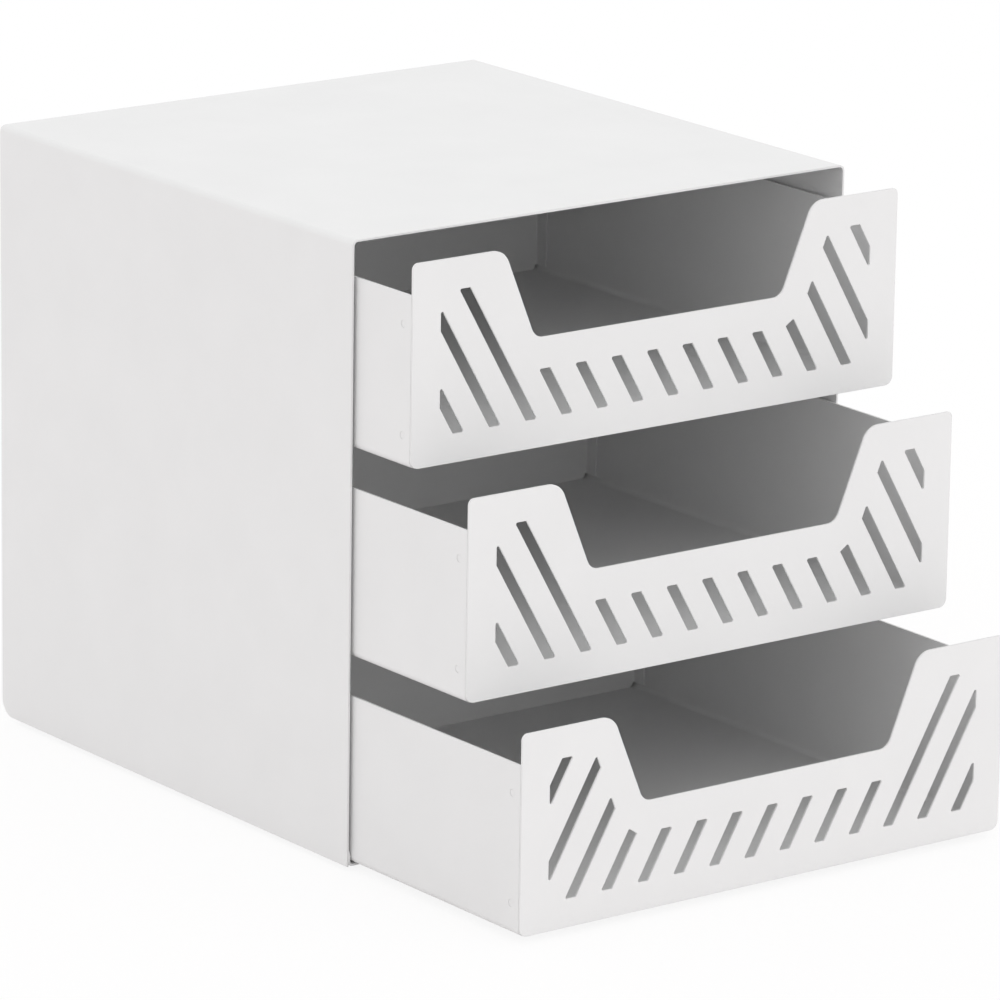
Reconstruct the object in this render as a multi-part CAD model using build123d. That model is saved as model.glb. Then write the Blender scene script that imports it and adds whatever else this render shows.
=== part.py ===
from build123d import *
from math import cos, radians, sin, tan
import os

# A three-drawer desk organizer folded from thin powder-coated sheet steel.
# Millimetres; the front faces -Y and +Z is up. The drawers are drawn at the openings they have at rest.
# The origin lies on the desk under the middle of the whole object as it stands at rest.

# Case
case_width = 242.0
case_depth = 245.5
case_height = 250.2
sheet = 0.8
case_fold = 2.5
bend = 1.6
side_corner = 7.5
flange = 7.0
flange_corner = 3.0
back_recess = 9.0
corner_relief = 4.0

# Feet
foot_diameter = 12.0
foot_height = 2.0
foot_inset = 20.0
foot_chamfer = 0.5

# Clearances
side_gap = 0.6
slide_gap = 0.2
ear_clearance = 2.0
top_clearance = 1.5
rear_gap = 1.5

# Runners
runner_width = 12.0
runner_setback = 20.0

# Drawer pans, backs and corner angles
wall_height = 68.0
pan_fold = 3.0
seam = 0.1
back_chamfer = 1.2
angle_leg = 11.0
angle_margin = 5.0
weld_diameter = 3.0
weld_depth = 0.2
weld_setback = 5.0
weld_low = 12.5
weld_high = 56.0

# Drawer fronts
notch_depth = 36.7
notch_width = 121.0
ear_slant = 22.5
ear_outer_radius = 2.5
ear_inner_radius = 8.0
notch_radius = 6.0
front_corner = 3.5

# Slots in the fronts
slot_count = 14
slot_width = 4.7
slot_pitch = 17.4
slot_slant = 30.0
slot_side_margin = 13.3
slot_low_margin = 11.4
slot_edge_margin = 12.5
slot_chamfer = 6.0
slot_corner = 0.7
sharp_corner = 90.0
least_slot_area = 12.0
corner_share = 0.4
touch = 1e-6

# Openings at rest
top_opening = 35.9
middle_opening = 73.1
bottom_opening = 108.6

# Fits
drawer_count = 3
row_gap = ear_clearance + sheet + slide_gap
drawer_pitch = (case_height - 2 * sheet - slide_gap - top_clearance + row_gap) / drawer_count
front_height = drawer_pitch - row_gap
inner_half = case_width / 2 - sheet
front_half = inner_half - sheet - side_gap
pan_half = front_half - sheet
tray_depth = case_depth - back_recess - 2 * sheet - rear_gap
case_low = foot_height
case_top = case_low + case_height
case_middle = max(top_opening, middle_opening, bottom_opening) / 2
case_front = case_middle - case_depth / 2
case_rear = case_middle + case_depth / 2
back_face = case_rear - back_recess - sheet
notch_floor = front_height - notch_depth


def bent_sheet(points, radius):
    """Section of a folded sheet; the points run along its outer side with the sheet on their left."""
    outside = FilletPolyline(*points, radius=radius)
    return make_face(offset(outside, amount=sheet, side=Side.LEFT, closed=True))


def rounded_face(corners):
    """Flat face from corners given as (x, y, radius)."""
    face = make_face(Polyline(*[(x, y) for x, y, radius in corners], close=True))
    for x, y, radius in corners:
        if radius > 0:
            face = fillet(face.vertices().sort_by_distance((x, y, 0))[0], radius)
    return face


def along_y(section, start, end):
    """Section drawn in X and Z, drawn out from start to end along Y."""
    return Pos(0, end, 0) * extrude(Plane.XZ * section, end - start)


def along_x(section, half):
    """Section drawn in Y and Z, drawn out to both sides along X."""
    return extrude(Plane.YZ * section, half, both=True)


def along_z(section, start, end):
    """Section drawn in X and Y, drawn out from start to end along Z."""
    return Pos(0, 0, start) * extrude(section, end - start)


def block(half, y_start, y_end, z_start, z_end):
    """Box centred in X."""
    size = Box(2 * half, y_end - y_start, z_end - z_start)
    return Pos(0, (y_start + y_end) / 2, (z_start + z_end) / 2) * size


def mirrored(part):
    """The part's twin on the other side."""
    return mirror(part, about=Plane.YZ)


def flange_ends_rounded(part):
    """Both upper end corners of a piece's upturned flanges, rounded."""
    across = part.edges().filter_by(Axis.X).group_by(Axis.Z)[-1]
    return fillet(across, flange_corner)


def case_wrap():
    """Top and both sides, one folded sheet with rounded lower rear corners."""
    half = case_width / 2
    section = bent_sheet(
        [(half, case_low), (half, case_top), (-half, case_top), (-half, case_low)], case_fold
    )
    wrap = along_y(section, case_front, case_rear)
    rear = wrap.edges().filter_by(Axis.X).group_by(Axis.Y)[-1]
    return fillet(rear.group_by(Axis.Z)[0], side_corner)


def base_panel():
    """Floor of the case with upturned flanges at its sides and its rear edge."""
    rim = case_low + flange
    section = bent_sheet(
        [(-inner_half, rim), (-inner_half, case_low), (inner_half, case_low), (inner_half, rim)], bend
    )
    floor_end = back_face - corner_relief
    floor = flange_ends_rounded(along_y(section, case_front, floor_end))
    rear = bent_sheet([(floor_end, case_low), (back_face, case_low), (back_face, rim)], bend)
    return floor + along_x(rear, inner_half - corner_relief)


def back_panel():
    """Recessed rear wall with flanges turned rearward along its sides and its top."""
    ceiling = case_top - sheet
    shoulder = ceiling - corner_relief
    edge = back_face + flange
    section = bent_sheet(
        [(-inner_half, edge), (-inner_half, back_face), (inner_half, back_face), (inner_half, edge)], bend
    )
    panel = along_z(section, case_low + side_corner, shoulder)
    panel += block(inner_half - bend, back_face, back_face + sheet, case_low, shoulder)
    top = bent_sheet([(edge, ceiling), (back_face, ceiling), (back_face, shoulder)], bend)
    return panel + along_x(top, inner_half - corner_relief)


def runner(level):
    """Right-hand angle that carries a drawer whose underside is at this level."""
    foot = level - slide_gap - sheet
    section = bent_sheet(
        [(inner_half - runner_width, foot), (inner_half, foot), (inner_half, foot + flange)], bend
    )
    return flange_ends_rounded(along_y(section, case_front + runner_setback, back_face - rear_gap))


def foot_pad():
    """Round pad with a bevelled lower edge."""
    pad = Pos(0, 0, foot_height / 2) * Cylinder(foot_diameter / 2, foot_height)
    return chamfer(pad.edges().group_by(Axis.Z)[0], foot_chamfer)


def slot_region():
    """The part of a front inside which its slots are cut."""
    slant = radians(ear_slant)
    side = front_half - slot_side_margin
    low = notch_floor - slot_edge_margin
    high = front_height - slot_edge_margin
    inner_low = notch_width / 2 + slot_edge_margin / cos(slant) - slot_edge_margin * tan(slant)
    inner_high = inner_low + (high - low) * tan(slant)
    right = [
        (side, slot_low_margin),
        (side, high),
        (inner_high, high),
        (inner_low + slot_chamfer * sin(slant), low + slot_chamfer * cos(slant)),
        (inner_low - slot_chamfer, low),
    ]
    left = [(-x, z) for x, z in reversed(right)]
    return make_face(Polyline(*right, *left, close=True))


def softened(face):
    """The face with its sharp corners rounded, by less where an edge is short."""
    rounding = []
    for corner in face.vertices():
        arms = [
            end.center() - corner.center()
            for edge in face.edges()
            for end in edge.vertices()
            if edge.distance_to(corner) < touch and end.distance_to(corner) > touch
        ]
        angle = arms[0].get_angle(arms[1])
        if angle < sharp_corner:
            reach = corner_share * min(arm.length for arm in arms)
            rounding.append((corner.center(), min(slot_corner, reach * tan(radians(angle / 2)))))
    for place, radius in rounding:
        face = fillet(face.vertices().sort_by_distance(place)[0], radius)
    return face


def slots():
    """Slots whose tops lean left, cut off at the edges of their region."""
    region = slot_region()
    stripes = []
    for index in range(slot_count):
        middle = (index - (slot_count - 1) / 2) * slot_pitch
        stripe = Rot(0, 0, slot_slant) * Rectangle(slot_width, 2 * front_height)
        stripes += (region & Pos(middle, front_height / 2) * stripe).faces()
    return [softened(face) for face in stripes if face.area > least_slot_area]


def drawer_front():
    """Flat slotted plate with a wide notch between two ears; its face is at y = 0."""
    notch_half = notch_width / 2
    ear = notch_half + notch_depth * tan(radians(ear_slant))
    right = [
        (front_half, 0, front_corner),
        (front_half, front_height, ear_outer_radius),
        (ear, front_height, ear_inner_radius),
        (notch_half, notch_floor, notch_radius),
    ]
    left = [(-x, z, radius) for x, z, radius in reversed(right)]
    plate = along_y(rounded_face(right + left), 0, sheet)
    for cut in slots():
        plate -= along_y(cut, 0, sheet)
    return plate


def weld_mark(height):
    """Shallow round dent that a spot weld leaves in the right-hand wall."""
    dent = Rot(0, 90, 0) * Cylinder(weld_diameter / 2, 2 * weld_depth)
    return Pos(front_half, sheet + weld_setback, height) * dent


def drawer_pan():
    """Bottom and both side walls, one folded sheet behind a narrow seam, with weld marks near its front."""
    section = bent_sheet(
        [(-front_half, wall_height), (-front_half, 0), (front_half, 0), (front_half, wall_height)], pan_fold
    )
    pan = along_y(section, sheet + seam, tray_depth)
    for height in (weld_low, weld_high):
        mark = weld_mark(height)
        pan -= mark
        pan -= mirrored(mark)
    return pan


def drawer_back():
    """Rear wall with flanges turned forward along the side walls; its lower corners clear the pan's folds."""
    edge = tray_depth - flange
    section = bent_sheet(
        [(pan_half, edge), (pan_half, tray_depth), (-pan_half, tray_depth), (-pan_half, edge)], bend
    )
    wall = along_z(section, pan_fold, wall_height)
    foot = block(pan_half - bend, tray_depth - sheet, tray_depth, sheet, pan_fold)
    corners = foot.edges().filter_by(Axis.Y).group_by(Axis.Z)[0]
    return wall + chamfer(corners, back_chamfer)


def corner_angle():
    """Right-hand angle welded between a drawer's front and its side wall."""
    section = bent_sheet(
        [(pan_half - angle_leg, sheet), (pan_half, sheet), (pan_half, sheet + angle_leg)], bend
    )
    return along_z(section, angle_margin, wall_height - angle_margin)


def drawer_pieces():
    """The pieces of one drawer by name, with the face of its front at y = 0 and its underside at z = 0."""
    angle = corner_angle()
    return {
        "front": drawer_front(),
        "pan": drawer_pan(),
        "back": drawer_back(),
        "angle_right": angle,
        "angle_left": mirrored(angle),
    }


def organizer():
    """Every piece of the organizer, by name; the slots of the bottom drawer lean the other way."""
    nodes = {"case_wrap": case_wrap(), "base_panel": base_panel(), "back_panel": back_panel()}
    leaning_left = drawer_pieces()
    leaning_right = {**leaning_left, "front": mirrored(leaning_left["front"])}
    rows = [
        ("bottom", bottom_opening, leaning_right),
        ("middle", middle_opening, leaning_left),
        ("top", top_opening, leaning_left),
    ]
    for row, (name, opening, pieces) in enumerate(rows):
        level = case_low + sheet + slide_gap + row * drawer_pitch
        for piece, solid in pieces.items():
            nodes[f"drawer_{name}_{piece}"] = Pos(0, case_front - opening, level) * solid
        if row > 0:
            rail = runner(level)
            nodes[f"runner_{name}_right"] = rail
            nodes[f"runner_{name}_left"] = mirrored(rail)
    for end, side_y in (("front", -1), ("rear", 1)):
        for hand, side_x in (("left", -1), ("right", 1)):
            x = side_x * (case_width / 2 - foot_inset)
            y = case_middle + side_y * (case_depth / 2 - foot_inset)
            nodes[f"foot_{end}_{hand}"] = Pos(x, y, 0) * foot_pad()
    return nodes


os.makedirs("parts", exist_ok=True)
for node_name, node in organizer().items():
    export_step(node, f"parts/{node_name}.step")
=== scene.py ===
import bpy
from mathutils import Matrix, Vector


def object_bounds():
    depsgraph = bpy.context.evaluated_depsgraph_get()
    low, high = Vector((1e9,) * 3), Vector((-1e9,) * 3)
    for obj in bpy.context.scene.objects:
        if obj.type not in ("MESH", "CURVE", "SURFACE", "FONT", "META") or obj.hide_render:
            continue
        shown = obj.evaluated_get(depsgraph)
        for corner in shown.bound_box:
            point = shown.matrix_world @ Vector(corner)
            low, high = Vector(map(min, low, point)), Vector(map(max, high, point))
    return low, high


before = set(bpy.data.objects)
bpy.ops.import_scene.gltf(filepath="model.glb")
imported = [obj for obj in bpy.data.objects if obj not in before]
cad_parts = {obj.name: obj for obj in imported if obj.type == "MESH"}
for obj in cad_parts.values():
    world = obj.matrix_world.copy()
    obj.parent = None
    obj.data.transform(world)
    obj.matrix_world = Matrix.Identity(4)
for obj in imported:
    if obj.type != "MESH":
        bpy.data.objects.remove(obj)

import fnmatch
from math import cos, radians, sin

import bpy
from bpy.props import FloatProperty, FloatVectorProperty, PointerProperty
from mathutils import Matrix, Vector

CAD_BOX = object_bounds()
CAD_MIDDLE = Vector(CAD_BOX[0]).lerp(Vector(CAD_BOX[1]), 0.5)
PLAIN_WHITE = (1.0, 1.0, 1.0, 1.0)

bl_info = {
    "name": "Sheet steel desk organizer",
    "version": (1, 0, 0),
    "blender": (4, 5, 0),
    "location": "View3D > Sidebar > Organizer",
    "description": "Finishes and studio for a desk organizer with sliding drawers",
    "category": "Object",
}


def linear(code):
    """Linear red, green and blue of an sRGB hex value."""
    shares = [int(code[i:i + 2], 16) / 255 for i in (1, 3, 5)]
    return [s / 12.92 if s <= 0.04045 else ((s + 0.055) / 1.055) ** 2.4 for s in shares]


def add(tree, kind, inputs=None, **settings):
    """A new node with its settings; each input is given a value, or the socket that is linked to it."""
    node = tree.nodes.new(kind)
    for name, value in settings.items():
        setattr(node, name, value)
    for socket, value in (inputs or {}).items():
        if isinstance(value, bpy.types.NodeSocket):
            tree.links.new(value, node.inputs[socket])
        else:
            node.inputs[socket].default_value = value
    return node


class OrganizerFinish(bpy.types.PropertyGroup):
    """Colours and surface sizes of the organizer's materials."""

    coat_colour: FloatVectorProperty(
        name="Coat",
        description="White of the powder coat",
        subtype="COLOR",
        default=linear("#E6E6E6"),
        min=0,
        max=1,
    )
    coat_thin_colour: FloatVectorProperty(
        name="Thin coat",
        description="White where the powder lies a little thinner",
        subtype="COLOR",
        default=linear("#E1E1E1"),
        min=0,
        max=1,
    )
    coat_ior: FloatProperty(
        name="Coat IOR",
        description="Index of refraction of the cured polyester",
        default=1.5,
        min=1,
    )
    coat_roughness: FloatProperty(
        name="Coat roughness",
        description="Dullness of the cured coat",
        subtype="FACTOR",
        default=0.6,
        min=0,
        max=1,
    )
    coat_mottle: FloatProperty(
        name="Coat mottle",
        description="How far the dullness varies to either side",
        subtype="FACTOR",
        default=0.05,
        min=0,
        max=1,
    )
    cloud_width: FloatProperty(
        name="Cloud width",
        description="Size of the patches of thicker and thinner powder",
        unit="LENGTH",
        default=0.03,
    )
    peel_width: FloatProperty(
        name="Peel width",
        description="Distance between the swells of the orange peel",
        unit="LENGTH",
        default=0.0022,
    )
    peel_height: FloatProperty(
        name="Peel height",
        description="Height of the swells of the orange peel",
        unit="LENGTH",
        default=0.00002,
    )
    wave_width: FloatProperty(
        name="Sheet wave",
        description="Length of the slow waves in the thin sheet",
        unit="LENGTH",
        default=0.11,
    )
    wave_height: FloatProperty(
        name="Sheet wave height",
        description="Height of the slow waves in the thin sheet",
        unit="LENGTH",
        default=0.0003,
    )
    edge_radius: FloatProperty(
        name="Edge radius",
        description="Rounding that the coat gives to a sheared edge",
        unit="LENGTH",
        default=0.00025,
    )
    rubber_colour: FloatVectorProperty(
        name="Rubber",
        description="Grey of the foot pads",
        subtype="COLOR",
        default=linear("#3A3A3B"),
        min=0,
        max=1,
    )
    # Painted shade: this darker grey is put into the hollows of the rubber grain, where shade would fall.
    rubber_hollow_shade: FloatVectorProperty(
        name="Rubber grain colour",
        description="Grey in the hollows of the grain",
        subtype="COLOR",
        default=linear("#333334"),
        min=0,
        max=1,
    )
    rubber_ior: FloatProperty(
        name="Rubber IOR",
        description="Index of refraction of the rubber",
        default=1.52,
        min=1,
    )
    rubber_roughness: FloatProperty(
        name="Rubber roughness",
        description="Dullness of the foot pads",
        subtype="FACTOR",
        default=0.8,
        min=0,
        max=1,
    )
    rubber_grain: FloatProperty(
        name="Rubber grain",
        description="Grain of the mould on the foot pads",
        unit="LENGTH",
        default=0.0006,
    )
    rubber_depth: FloatProperty(
        name="Rubber grain depth",
        description="Depth of the grain on the foot pads",
        unit="LENGTH",
        default=0.0001,
    )


class OrganizerStudio(bpy.types.PropertyGroup):
    """Camera, lamps and floor of the studio."""

    azimuth: FloatProperty(
        name="Azimuth",
        description="Direction of the camera round the organizer",
        subtype="ANGLE",
        default=radians(-37.096),
    )
    elevation: FloatProperty(
        name="Elevation",
        description="Height of the camera above the horizon",
        subtype="ANGLE",
        default=radians(15.313),
    )
    roll: FloatProperty(
        name="Roll",
        description="Lean of the camera",
        subtype="ANGLE",
        default=radians(0.877),
    )
    aim: FloatVectorProperty(
        name="Aim",
        description="Point in the middle of the picture",
        subtype="TRANSLATION",
        unit="LENGTH",
        default=(0.04356, 0.05400, 0.09707),
    )
    distance: FloatProperty(
        name="Distance",
        description="From the camera to the aim",
        unit="LENGTH",
        default=2.913,
    )
    lens: FloatProperty(
        name="Lens",
        description="Focal length of the lens",
        unit="CAMERA",
        default=254.23,
    )
    sensor: FloatProperty(
        name="Sensor",
        description="Width of the sensor",
        unit="CAMERA",
        default=36.0,
    )
    floor_colour: FloatVectorProperty(
        name="Floor",
        description="White of the floor",
        subtype="COLOR",
        default=linear("#F5F2F2"),
        min=0,
        max=1,
    )
    floor_size: FloatProperty(
        name="Floor size",
        description="Side of the floor",
        unit="LENGTH",
        default=40.0,
    )
    floor_glow: FloatProperty(
        name="Floor white",
        description="Share of plain white in what is seen of the floor at the organizer",
        subtype="FACTOR",
        default=0.88,
        min=0,
        max=1,
    )
    floor_near: FloatProperty(
        name="Floor near",
        description="Distance within which the floor keeps its shadow in full",
        unit="LENGTH",
        default=0.25,
    )
    floor_far: FloatProperty(
        name="Floor far",
        description="Distance from which the floor is seen as plain white",
        unit="LENGTH",
        default=0.9,
    )
    sky: FloatProperty(
        name="Sky",
        description="Strength of the light from all round",
        default=1.05,
        min=0,
    )
    lamp_size: FloatProperty(
        name="Lamp size",
        description="Side of each soft lamp",
        unit="LENGTH",
        default=1.6,
    )
    top_power: FloatProperty(
        name="Top lamp",
        description="Power of the lamp above",
        subtype="POWER",
        default=2.2,
    )
    top_place: FloatVectorProperty(
        name="Top lamp place",
        description="Where the lamp above hangs",
        subtype="TRANSLATION",
        unit="LENGTH",
        default=(0.1, 0.2, 2.7),
    )
    front_power: FloatProperty(
        name="Front lamp",
        description="Power of the lamp in front",
        subtype="POWER",
        default=7.4,
    )
    front_place: FloatVectorProperty(
        name="Front lamp place",
        description="Where the lamp in front stands",
        subtype="TRANSLATION",
        unit="LENGTH",
        default=(1.5, -2.4, 0.7),
    )


def polyester_powder_coat(material):
    """White polyester powder on sheet steel, sprayed dry and melted in an oven."""
    # The powder flows out to a dull skin: an even, slightly clouded white with a faint orange peel,
    # rounded over the sheared edges. The thin sheet below is never quite flat, so its shade drifts a little.
    look = bpy.context.scene.organizer_finish
    tree = material.node_tree
    shader = tree.nodes["Principled BSDF"]
    place = add(tree, "ShaderNodeTexCoord").outputs["Object"]
    cloud = add(tree, "ShaderNodeTexNoise", {"Vector": place, "Scale": 1 / look.cloud_width, "Detail": 3.0})
    white = add(
        tree,
        "ShaderNodeMix",
        {"Factor": cloud.outputs["Fac"], "A": (*look.coat_thin_colour, 1), "B": (*look.coat_colour, 1)},
        data_type="RGBA",
    )
    peel = add(tree, "ShaderNodeTexNoise", {"Vector": place, "Scale": 1 / look.peel_width, "Detail": 1.0})
    dull = add(
        tree,
        "ShaderNodeMapRange",
        {
            "Value": peel.outputs["Fac"],
            "To Min": look.coat_roughness - look.coat_mottle,
            "To Max": look.coat_roughness + look.coat_mottle,
        },
    )
    wave = add(tree, "ShaderNodeTexNoise", {"Vector": place, "Scale": 1 / look.wave_width, "Detail": 0.0})
    edge = add(tree, "ShaderNodeBevel", {"Radius": look.edge_radius}, samples=4)
    sheet = add(
        tree,
        "ShaderNodeBump",
        {"Height": wave.outputs["Fac"], "Distance": look.wave_height, "Normal": edge.outputs["Normal"]},
    )
    skin = add(
        tree,
        "ShaderNodeBump",
        {"Height": peel.outputs["Fac"], "Distance": look.peel_height, "Normal": sheet.outputs["Normal"]},
    )
    tree.links.new(white.outputs["Result"], shader.inputs["Base Color"])
    tree.links.new(dull.outputs["Result"], shader.inputs["Roughness"])
    tree.links.new(skin.outputs["Normal"], shader.inputs["Normal"])
    shader.inputs["IOR"].default_value = look.coat_ior


def moulded_rubber(material):
    """Dark grey rubber, moulded in a blasted tool."""
    # The blasted mould leaves a fine dry grain, so the pads look flat grey without a highlight.
    # The real grain, about 0.1 mm, would not show, so it is drawn coarser here.
    look = bpy.context.scene.organizer_finish
    tree = material.node_tree
    shader = tree.nodes["Principled BSDF"]
    place = add(tree, "ShaderNodeTexCoord").outputs["Object"]
    grain = add(tree, "ShaderNodeTexNoise", {"Vector": place, "Scale": 1 / look.rubber_grain, "Detail": 2.0})
    # Painted shade: the grain's hollows are coloured darker, following the same noise that raises the bump.
    grey = add(
        tree,
        "ShaderNodeMix",
        {"Factor": grain.outputs["Fac"], "A": (*look.rubber_hollow_shade, 1), "B": (*look.rubber_colour, 1)},
        data_type="RGBA",
    )
    bump = add(tree, "ShaderNodeBump", {"Height": grain.outputs["Fac"], "Distance": look.rubber_depth})
    tree.links.new(grey.outputs["Result"], shader.inputs["Base Color"])
    tree.links.new(bump.outputs["Normal"], shader.inputs["Normal"])
    shader.inputs["Roughness"].default_value = look.rubber_roughness
    shader.inputs["IOR"].default_value = look.rubber_ior


def material_of(build):
    """The material that a function builds, made once and named after that function."""
    material = bpy.data.materials.get(build.__name__)
    if material is None:
        material = bpy.data.materials.new(build.__name__)
        material.use_nodes = True
        build(material)
    return material


def dress(build, *patterns):
    """Gives the pieces whose names fit a pattern the material that the function builds."""
    material = material_of(build)
    for pattern in patterns:
        names = fnmatch.filter(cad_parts, pattern)
        if not names:
            raise RuntimeError(f"no piece is named {pattern}")
        for name in names:
            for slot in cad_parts[name].material_slots:
                slot.material = material


class ORGANIZER_OT_case(bpy.types.Operator):
    """Finish the folded case, its base panel and its back panel"""

    bl_idname = "organizer.case"
    bl_label = "Case"

    def execute(self, context):
        dress(polyester_powder_coat, "case_wrap", "base_panel", "back_panel")
        return {"FINISHED"}


class ORGANIZER_OT_runners(bpy.types.Operator):
    """Finish the runners that carry the upper drawers"""

    bl_idname = "organizer.runners"
    bl_label = "Runners"

    def execute(self, context):
        dress(polyester_powder_coat, "runner_*")
        return {"FINISHED"}


class ORGANIZER_OT_fronts(bpy.types.Operator):
    """Finish the slotted fronts of the drawers"""

    bl_idname = "organizer.fronts"
    bl_label = "Drawer fronts"

    def execute(self, context):
        dress(polyester_powder_coat, "drawer_*_front")
        return {"FINISHED"}


class ORGANIZER_OT_trays(bpy.types.Operator):
    """Finish the drawers behind their fronts: pans, backs and corner angles"""

    bl_idname = "organizer.trays"
    bl_label = "Drawer trays"

    def execute(self, context):
        dress(polyester_powder_coat, "drawer_*_pan", "drawer_*_back", "drawer_*_angle_*")
        return {"FINISHED"}


class ORGANIZER_OT_feet(bpy.types.Operator):
    """Finish the foot pads"""

    bl_idname = "organizer.feet"
    bl_label = "Foot pads"

    def execute(self, context):
        dress(moulded_rubber, "foot_*")
        return {"FINISHED"}


def background_rays(tree):
    """1 for a ray that shows the background, straight, in gloss or through glass; 0 for one that lights."""
    path = add(tree, "ShaderNodeLightPath")
    seen = path.outputs["Is Camera Ray"]
    for kind in ("Is Glossy Ray", "Is Transmission Ray"):
        seen = add(tree, "ShaderNodeMath", {0: seen, 1: path.outputs[kind]}, operation="MAXIMUM").outputs[0]
    return seen


def matt_paper(material):
    """White paper, cut from a roll and laid below the organizer."""
    # Matt paper shows a soft shadow and no gloss; away from the organizer it is seen as plain white.
    studio = bpy.context.scene.organizer_studio
    tree = material.node_tree
    tree.nodes.clear()
    paper = add(tree, "ShaderNodeBsdfDiffuse", {"Color": (*studio.floor_colour, 1)})
    white = add(tree, "ShaderNodeEmission", {"Color": PLAIN_WHITE})
    place = add(tree, "ShaderNodeTexCoord").outputs["Object"]
    away = add(tree, "ShaderNodeVectorMath", {0: place}, operation="LENGTH")
    glow = add(
        tree,
        "ShaderNodeMapRange",
        {
            "Value": away.outputs["Value"],
            "From Min": studio.floor_near,
            "From Max": studio.floor_far,
            "To Min": studio.floor_glow,
        },
        interpolation_type="SMOOTHSTEP",
    )
    share = add(
        tree, "ShaderNodeMath", {0: background_rays(tree), 1: glow.outputs["Result"]}, operation="MULTIPLY"
    )
    mixed = add(tree, "ShaderNodeMixShader", {0: share.outputs[0], 1: paper.outputs[0], 2: white.outputs[0]})
    add(tree, "ShaderNodeOutputMaterial", {"Surface": mixed.outputs[0]})


def paper_floor():
    """Flat floor at the height on which the organizer stands."""
    half = bpy.context.scene.organizer_studio.floor_size / 2
    corners = [(-half, -half, 0), (half, -half, 0), (half, half, 0), (-half, half, 0)]
    mesh = bpy.data.meshes.new("floor")
    mesh.from_pydata(corners, [], [(0, 1, 2, 3)])
    mesh.materials.append(material_of(matt_paper))
    floor = bpy.data.objects.new("floor", mesh)
    bpy.context.scene.collection.objects.link(floor)


def light_tent():
    """Even white light from all round, seen as plain white."""
    world = bpy.data.worlds.new("light_tent")
    world.use_nodes = True
    tree = world.node_tree
    tree.nodes.clear()
    strength = bpy.context.scene.organizer_studio.sky
    light = add(tree, "ShaderNodeBackground", {"Color": PLAIN_WHITE, "Strength": strength})
    white = add(tree, "ShaderNodeBackground", {"Color": PLAIN_WHITE})
    seen = background_rays(tree)
    mixed = add(tree, "ShaderNodeMixShader", {0: seen, 1: light.outputs[0], 2: white.outputs[0]})
    add(tree, "ShaderNodeOutputWorld", {"Surface": mixed.outputs[0]})
    bpy.context.scene.world = world


def lamp(name, power, place):
    """A square soft lamp that shines on the middle of the organizer."""
    data = bpy.data.lights.new(name, "AREA")
    data.energy = power
    data.size = bpy.context.scene.organizer_studio.lamp_size
    made = bpy.data.objects.new(name, data)
    made.location = place
    made.rotation_euler = (CAD_MIDDLE - made.location).to_track_quat("-Z", "Y").to_euler()
    bpy.context.scene.collection.objects.link(made)


def camera():
    """Long lens at the photograph's place."""
    studio = bpy.context.scene.organizer_studio
    flat = cos(studio.elevation)
    back = Vector((sin(studio.azimuth) * flat, -cos(studio.azimuth) * flat, sin(studio.elevation)))
    turn = back.to_track_quat("Z", "Y").to_matrix() @ Matrix.Rotation(studio.roll, 3, "Z")
    data = bpy.data.cameras.new("camera")
    data.lens = studio.lens
    data.sensor_width = studio.sensor
    made = bpy.data.objects.new("camera", data)
    made.matrix_world = Matrix.Translation(Vector(studio.aim) + back * studio.distance) @ turn.to_4x4()
    bpy.context.scene.collection.objects.link(made)
    bpy.context.scene.camera = made


class ORGANIZER_OT_studio(bpy.types.Operator):
    """Set up the floor, the lamps and the camera"""

    bl_idname = "organizer.studio"
    bl_label = "Studio"

    def execute(self, context):
        studio = context.scene.organizer_studio
        context.scene.view_settings.view_transform = "Standard"
        paper_floor()
        light_tent()
        lamp("top_lamp", studio.top_power, studio.top_place)
        lamp("front_lamp", studio.front_power, studio.front_place)
        camera()
        return {"FINISHED"}


OPERATORS = (
    ORGANIZER_OT_case,
    ORGANIZER_OT_runners,
    ORGANIZER_OT_fronts,
    ORGANIZER_OT_trays,
    ORGANIZER_OT_feet,
    ORGANIZER_OT_studio,
)


class ORGANIZER_PT_pieces(bpy.types.Panel):
    """Pieces, finishes and studio of the organizer"""

    bl_label = "Organizer"
    bl_idname = "ORGANIZER_PT_pieces"
    bl_space_type = "VIEW_3D"
    bl_region_type = "UI"
    bl_category = "Organizer"

    def draw(self, context):
        for operator in OPERATORS:
            self.layout.operator(operator.bl_idname)
        for group in (context.scene.organizer_finish, context.scene.organizer_studio):
            column = self.layout.column()
            for name in group.__annotations__:
                column.prop(group, name)


CLASSES = (OrganizerFinish, OrganizerStudio, *OPERATORS, ORGANIZER_PT_pieces)


def register():
    for item in CLASSES:
        bpy.utils.register_class(item)
    bpy.types.Scene.organizer_finish = PointerProperty(type=OrganizerFinish)
    bpy.types.Scene.organizer_studio = PointerProperty(type=OrganizerStudio)


def unregister():
    del bpy.types.Scene.organizer_studio
    del bpy.types.Scene.organizer_finish
    for item in reversed(CLASSES):
        bpy.utils.unregister_class(item)


def main():
    """Finish every piece and set up the studio."""
    register()
    bpy.ops.organizer.case()
    bpy.ops.organizer.runners()
    bpy.ops.organizer.fronts()
    bpy.ops.organizer.trays()
    bpy.ops.organizer.feet()
    bpy.ops.organizer.studio()


if __name__ == "__main__":
    main()
